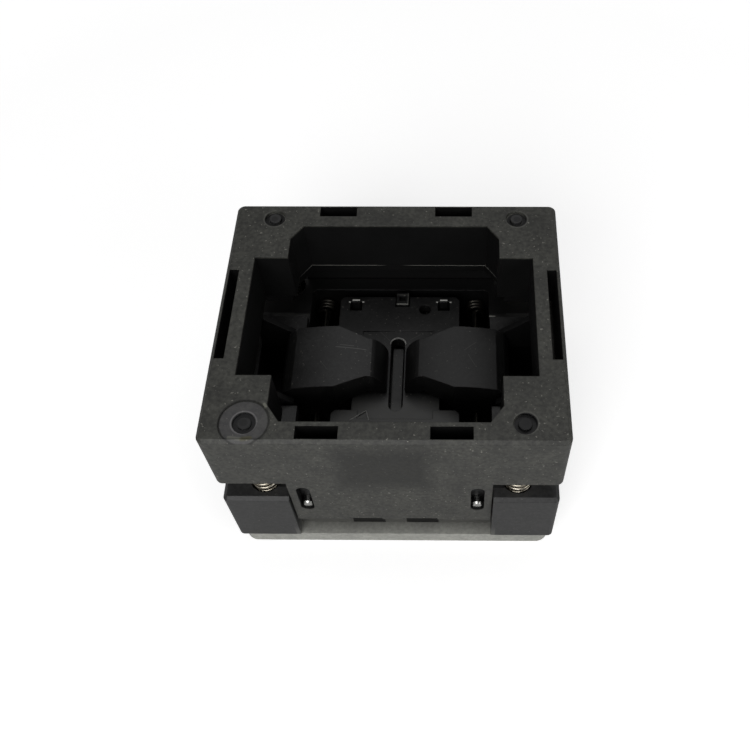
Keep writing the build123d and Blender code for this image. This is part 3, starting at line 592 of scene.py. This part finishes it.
class SocketFinishes(bpy.types.PropertyGroup):
    cover_dark: StringProperty(name="Cover, dark", description="Darkest colour of the cover's skin",
                               default="30302D")
    cover_light: StringProperty(name="Cover, light", description="Lightest colour of the cover's skin",
                                default="4C4C47")
    base_dark: StringProperty(name="Base, dark", description="Darkest colour of the base",
                              default="282828")
    base_light: StringProperty(name="Base, light", description="Lightest colour of the base",
                               default="3A3A3A")
    # painted shade: the colour that stands in for shade on the inner faces of the cover, in the base's well
    # and on the latches
    core: StringProperty(name="Core side", description="Colour of faces shaped by the polished core",
                         default="0A0A0A")
    latch_dark: StringProperty(name="Latch, dark", description="Darkest colour of the latches",
                               default="1C1C1C")
    latch_light: StringProperty(name="Latch, light", description="Lightest colour of the latches",
                                default="2B2B2B")
    seat_dark: StringProperty(name="Seat, dark", description="Darkest colour of the floating seat",
                              default="121212")
    seat_light: StringProperty(name="Seat, light", description="Lightest colour of the floating seat",
                               default="202020")
    plate_dark: StringProperty(name="Bottom plate, dark",
                               description="Darkest colour of the bottom plate",
                               default="9C9C96")
    plate_light: StringProperty(name="Bottom plate, light",
                                description="Lightest colour of the bottom plate",
                                default="B6B6AF")


class SocketMarks(bpy.types.PropertyGroup):
    bar_width: FloatProperty(name="Bar width", description="Width of the raised bars on the seat",
                             default=0.16 * MM, unit="LENGTH")
    bar_height: FloatProperty(name="Bar height",
                              description="Height of the raised bars above the seat's rim",
                              default=0.05 * MM, unit="LENGTH")


class SocketStudio(bpy.types.PropertyGroup):
    camera_place: FloatVectorProperty(name="Camera", description="Place of the camera", unit="LENGTH",
                                      default=(7.679 * MM, -60.397 * MM, 107.495 * MM))
    camera_turn: FloatVectorProperty(name="Camera turn", description="Rotation of the camera",
                                     subtype="EULER", unit="ROTATION",
                                     default=(math.radians(33.1769), math.radians(0.364),
                                              math.radians(0.4922)))
    camera_shift: FloatVectorProperty(name="Camera shift", size=2, default=(-0.0973, -0.0140),
                                      description="Shift of the picture, in widths of the sensor")
    lens: FloatProperty(name="Lens", description="Focal length on a 36 mm sensor, in millimetres",
                        default=42.093)
    key: FloatProperty(name="Key light", description="Power of the key light", default=0.8, unit="POWER")
    fill: FloatProperty(name="Fill light", description="Power of the fill light", default=0.3,
                        unit="POWER")
    top: FloatProperty(name="Top light", description="Power of the light from above", default=0.3,
                       unit="POWER")
    world: FloatProperty(name="Room light", description="Strength of the room's even light", default=0.14)


def paper_floor():
    """White paper under the object. It glows to the camera only, fully from 0.45 m away from the origin
    and less towards 0.1 m, so the background is white and the object keeps its shadow."""
    reach, lines = 1.6, 9
    glow_near, glow_far, least_glow = 0.1, 0.45, 0.58
    across = np.linspace(-reach, reach, lines)
    x, y = np.meshgrid(across, across, indexing="ij")
    mesh = grid_mesh("floor", [np.stack([x, y, np.zeros_like(x)], axis=-1)], closed=False)
    floor = bpy.data.objects.new("floor", mesh)
    bpy.context.scene.collection.objects.link(floor)
    paper, tree, shader, coords = start_material("white_paper_sweep")
    shader.inputs["Base Color"].default_value = linear("F2F2F2")
    shader.inputs["Roughness"].default_value = 0.9
    shader.inputs["Specular IOR Level"].default_value = 0.0
    rays = add_node(tree, "ShaderNodeLightPath").outputs
    away = add_node(tree, "ShaderNodeVectorMath", {"operation": "LENGTH"}, {0: coords}).outputs["Value"]
    glow = add_node(tree, "ShaderNodeMapRange",
                    {"From Min": glow_near, "From Max": glow_far, "To Min": least_glow, "To Max": 1.0},
                    {"Value": away}).outputs[0]
    seen = add_node(tree, "ShaderNodeMath", {"operation": "MULTIPLY"},
                    {0: rays["Is Camera Ray"], 1: glow})
    shader.inputs["Emission Color"].default_value = (1, 1, 1, 1)
    tree.links.new(shader.inputs["Emission Strength"], seen.outputs[0])
    mesh.materials.append(paper)


def white_room(scene, strength):
    """An even white light of a given strength, which the camera sees as full white."""
    world = bpy.data.worlds.new("white_room")
    world.use_nodes = True
    scene.world = world
    tree = world.node_tree
    room = tree.nodes["Background"]
    room.inputs["Color"].default_value = (1, 1, 1, 1)
    rays = add_node(tree, "ShaderNodeLightPath").outputs
    direct = add_node(tree, "ShaderNodeMath", {"operation": "MAXIMUM"},
                      {0: rays["Is Camera Ray"], 1: rays["Is Transmission Ray"]}).outputs[0]
    level = add_node(tree, "ShaderNodeMapRange", {"To Min": strength, "To Max": 1.0}, {"Value": direct})
    tree.links.new(room.inputs["Strength"], level.outputs[0])


def softbox(scene, name, spot, power, width):
    """A square lamp that is turned towards the upper part of the object."""
    target = np.array([0.0, 0.0, 0.018])
    aim = target - np.array(spot)
    light = bpy.data.lights.new(name, "AREA")
    light.energy = power
    light.shape = "SQUARE"
    light.size = width
    lamp = bpy.data.objects.new(name, light)
    lamp.location = spot
    lamp.rotation_euler = (math.atan2(math.hypot(aim[0], aim[1]), -aim[2]), 0,
                           math.atan2(aim[1], aim[0]) - math.pi / 2)
    scene.collection.objects.link(lamp)


def still_camera(scene, studio):
    """The camera, at the photograph's angle."""
    data = bpy.data.cameras.new("camera")
    data.lens = studio.lens
    data.sensor_width = 36.0
    data.shift_x, data.shift_y = studio.camera_shift
    data.clip_start = 0.005
    data.clip_end = 10.0
    camera = bpy.data.objects.new("camera", data)
    camera.location = studio.camera_place
    camera.rotation_euler = studio.camera_turn
    scene.collection.objects.link(camera)
    scene.camera = camera


class SOCKET_OT_mouldings(bpy.types.Operator):
    """Give the moulded pieces their plastics"""
    bl_idname = "socket.mouldings"
    bl_label = "Finish the mouldings"

    def execute(self, context):
        colours = context.scene.socket_finishes
        finish_node("cover", cover_plastic(colours))
        finish_node("base", base_plastic(colours))
        latch = latch_plastic(colours)
        for name in ("latch_left", "latch_right"):
            finish_node(name, latch)
        seat = seat_plastic(colours)
        for name in ("adapter_plate", "contact_block", "contact_retainer"):
            finish_node(name, seat)
        finish_node("bottom_plate", plate_plastic(colours))
        return {"FINISHED"}


class SOCKET_OT_metal_nodes(bpy.types.Operator):
    """Give the shafts and the contacts their metals"""
    bl_idname = "socket.metal_nodes"
    bl_label = "Finish the metal nodes"

    def execute(self, context):
        # bright ground ends at the front, and painted shade on the shafts behind them
        shaft_painted_shade = ((-12.0, -14.5, 8.0), (12.0, 16.5, 12.0), 0.5, "3A3935", 0.9)
        shaft = metal("ground_stainless_steel", "D9D9D6", "A9A9A4", 0.22, (4, 0.4, 4), LINE_DEPTH,
                      [shaft_painted_shade])
        finish_node("pivot_shaft_left", shaft)
        finish_node("pivot_shaft_right", shaft)
        # warm yellow strips that shine in rows
        contact = metal("gold_plated_copper", "E3C06A", "B48A3C", 0.3, (0.7, 0.7, 3), LINE_DEPTH)
        finish_node("contacts", contact)
        return {"FINISHED"}


class SOCKET_OT_cover_springs(bpy.types.Operator):
    """Make the four springs that lift the cover"""
    bl_idname = "socket.cover_springs"
    bl_label = "Make the cover springs"

    def execute(self, context):
        sizes = context.scene.socket_springs
        # bright wire, with painted shade on the sides of the back springs that face the well
        shade = ((-15.1, 5.0, 5.0), (15.1, 15.2, 25.0), 0.3, "0E0E0D", 1.0)
        steel = metal("drawn_spring_steel", "CFC8B9", "8F8878", 0.24, (2.5, 2.5, 0.3), LINE_DEPTH, [shade])
        for corner, _, _ in CORNERS:
            piece, bottom, top = slide_spring(f"cover_spring_{corner}", f"lift_spring_{corner}",
                                              sizes.cover_radius, sizes.cover_wire, sizes.cover_turns,
                                              COIL_STEPS, WIRE_SIDES, steel)
            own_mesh(piece)
        return {"FINISHED"}


class SOCKET_OT_seat_springs(bpy.types.Operator):
    """Make the four small springs under the floating seat"""
    bl_idname = "socket.seat_springs"
    bl_label = "Make the seat springs"

    def execute(self, context):
        sizes = context.scene.socket_springs
        # pale wire with sharp glints
        steel = metal("drawn_stainless_wire", "DAD8D2", "9C9A94", 0.26, (3, 3, 0.4), LINE_DEPTH)
        for corner, _, _ in CORNERS:
            piece, bottom, top = slide_spring(f"adapter_spring_{corner}", f"seat_spring_{corner}",
                                              sizes.seat_radius, sizes.seat_wire, sizes.seat_turns,
                                              SMALL_COIL_STEPS, SMALL_WIRE_SIDES, steel)
            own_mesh(piece)
        return {"FINISHED"}


class SOCKET_OT_latch_springs(bpy.types.Operator):
    """Make the torsion springs on the pivot shafts"""
    bl_idname = "socket.latch_springs"
    bl_label = "Make the latch springs"

    def execute(self, context):
        sizes = context.scene.socket_springs
        # wire darkened as painted shade for the well it sits in, with dull glints
        steel = metal("drawn_music_wire", "5C5953", "34322E", 0.4, (2.5, 0.3, 2.5), LINE_DEPTH)
        pitch, leg_gap = 0.5 * MM, 0.03 * MM
        # a quarter turn more takes the wire from the top to the side, where it goes down
        turns = sizes.torsion_turns + 0.25
        wire = sizes.torsion_wire
        for corner, side, end in CORNERS:
            node = f"latch_spring_{corner}"
            hand = corner.split("_")[1]
            low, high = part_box(node)
            shaft_low, shaft_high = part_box(f"pivot_shaft_{hand}")
            axis_x = (shaft_low[0] + shaft_high[0]) / 2
            axis_z = (shaft_low[2] + shaft_high[2]) / 2
            near, far = sorted((abs(low[1]), abs(high[1])))
            path, outward = torsion_coil(high[2] - wire / 2 - axis_z, near + leg_gap,
                                         far - wire / 2 - turns * pitch, pitch, turns, axis_z - low[2])
            path = path * np.array([side, end, 1]) + np.array([axis_x, 0, axis_z])
            outward = outward * np.array([side, 1, 1])
            mesh = grid_mesh(f"latch_coil_{corner}", [tube(path, outward, wire / 2, WIRE_SIDES)],
                             closed=True)
            place(mesh.name, mesh, f"latch_{hand}", steel, [node])
        return {"FINISHED"}


class SOCKET_OT_screws(bpy.types.Operator):
    """Make the countersunk screws of the bottom plate"""
    bl_idname = "socket.screws"
    bl_label = "Make the plate screws"

    def execute(self, context):
        # cool grey plating without a clear direction
        steel = metal("zinc_plated_steel", "BFC1C2", "8E9092", 0.35, (0.9, 0.9, 0.9), 0.004 * MM)
        low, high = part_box("plate_screws")
        cad_head, head, shank = 1.5 * MM, 1.45 * MM, 0.8 * MM
        screw = screw_surface(head, shank, low[2], high[2])
        reach_x, reach_y = high[0] - cad_head, high[1] - cad_head
        screws = [screw + np.array([side * reach_x, end * reach_y, 0]) for _, side, end in CORNERS]
        mesh = grid_mesh("countersunk_screws", screws, closed=True)
        place(mesh.name, mesh, "base", steel, ["plate_screws"])
        return {"FINISHED"}


class SOCKET_OT_seat_marks(bpy.types.Operator):
    """Make the raised marks of the floating seat"""
    bl_idname = "socket.seat_marks"
    bl_label = "Make the seat marks"

    def execute(self, context):
        marks = context.scene.socket_marks
        # pale grey as painted highlights, so the bars draw thin light lines
        painted_highlight_edge = moulded_plastic("moulded_pei_painted_highlight_edge", "7A7A78", "9C9C98", 0.2 * MM, 0.004 * MM, 0.35)
        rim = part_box("adapter_plate")[1][2]
        sunk = 0.32 * MM
        arch_radius, arch_y = 1.0 * MM, 4.55 * MM
        start, tip, end = np.array([[-5.6, -6.9], [-3.6, -5.5], [-3.2, -6.9]]) * MM
        share = np.linspace(0, 1, 24)[:, None]
        angle = np.linspace(0, np.pi, 40)
        paths = {
            "first_pin_line_long": start + share * (tip - start),
            "first_pin_line_short": tip + share * (end - tip),
            "slot_arch": np.column_stack([arch_radius * np.cos(angle),
                                          arch_y + arch_radius * np.sin(angle)]),
        }
        for name, path in paths.items():
            surface = bar(path, rim - sunk, rim + marks.bar_height, marks.bar_width)
            place(name, grid_mesh(name, [surface], closed=True), "adapter", painted_highlight_edge)
        return {"FINISHED"}


class SOCKET_OT_stage(bpy.types.Operator):
    """Set up the floor, the lights and the camera"""
    bl_idname = "socket.stage"
    bl_label = "Set up the studio"

    def execute(self, context):
        scene = context.scene
        studio = scene.socket_studio
        paper_floor()
        white_room(scene, studio.world)
        softbox(scene, "key_softbox", (-0.10, -0.34, 0.26), studio.key, 0.26)
        softbox(scene, "fill_softbox", (0.30, -0.24, 0.15), studio.fill, 0.24)
        softbox(scene, "top_softbox", (0.02, 0.12, 0.42), studio.top, 0.3)
        still_camera(scene, studio)
        scene.view_settings.view_transform = "Standard"
        return {"FINISHED"}


class SOCKET_PT_panel(bpy.types.Panel):
    """Lists the steps of the dressing"""
    bl_idname = "SOCKET_PT_panel"
    bl_label = "Test socket"
    bl_space_type = "VIEW_3D"
    bl_region_type = "UI"
    bl_category = "Test socket"

    def draw(self, context):
        for step in STEPS:
            self.layout.operator(step.bl_idname)
        for group, _ in GROUPS:
            settings = getattr(context.scene, group)
            box = self.layout.box()
            for name in settings.__annotations__:
                box.prop(settings, name)


GROUPS = (("socket_springs", SocketSprings), ("socket_finishes", SocketFinishes),
          ("socket_marks", SocketMarks), ("socket_studio", SocketStudio))
STEPS = (SOCKET_OT_mouldings, SOCKET_OT_metal_nodes, SOCKET_OT_cover_springs, SOCKET_OT_seat_springs,
         SOCKET_OT_latch_springs, SOCKET_OT_screws, SOCKET_OT_seat_marks, SOCKET_OT_stage)


def register():
    for name, group in GROUPS:
        bpy.utils.register_class(group)
        setattr(bpy.types.Scene, name, PointerProperty(type=group))
    for item in STEPS + (SOCKET_PT_panel,):
        bpy.utils.register_class(item)


def unregister():
    for item in reversed(STEPS + (SOCKET_PT_panel,)):
        bpy.utils.unregister_class(item)
    for name, group in reversed(GROUPS):
        delattr(bpy.types.Scene, name)
        bpy.utils.unregister_class(group)


def main():
    register()
    bpy.ops.socket.mouldings()
    bpy.ops.socket.metal_nodes()
    bpy.ops.socket.cover_springs()
    bpy.ops.socket.seat_springs()
    bpy.ops.socket.latch_springs()
    bpy.ops.socket.screws()
    bpy.ops.socket.seat_marks()
    bpy.ops.socket.stage()


if __name__ == "__main__":
    main()
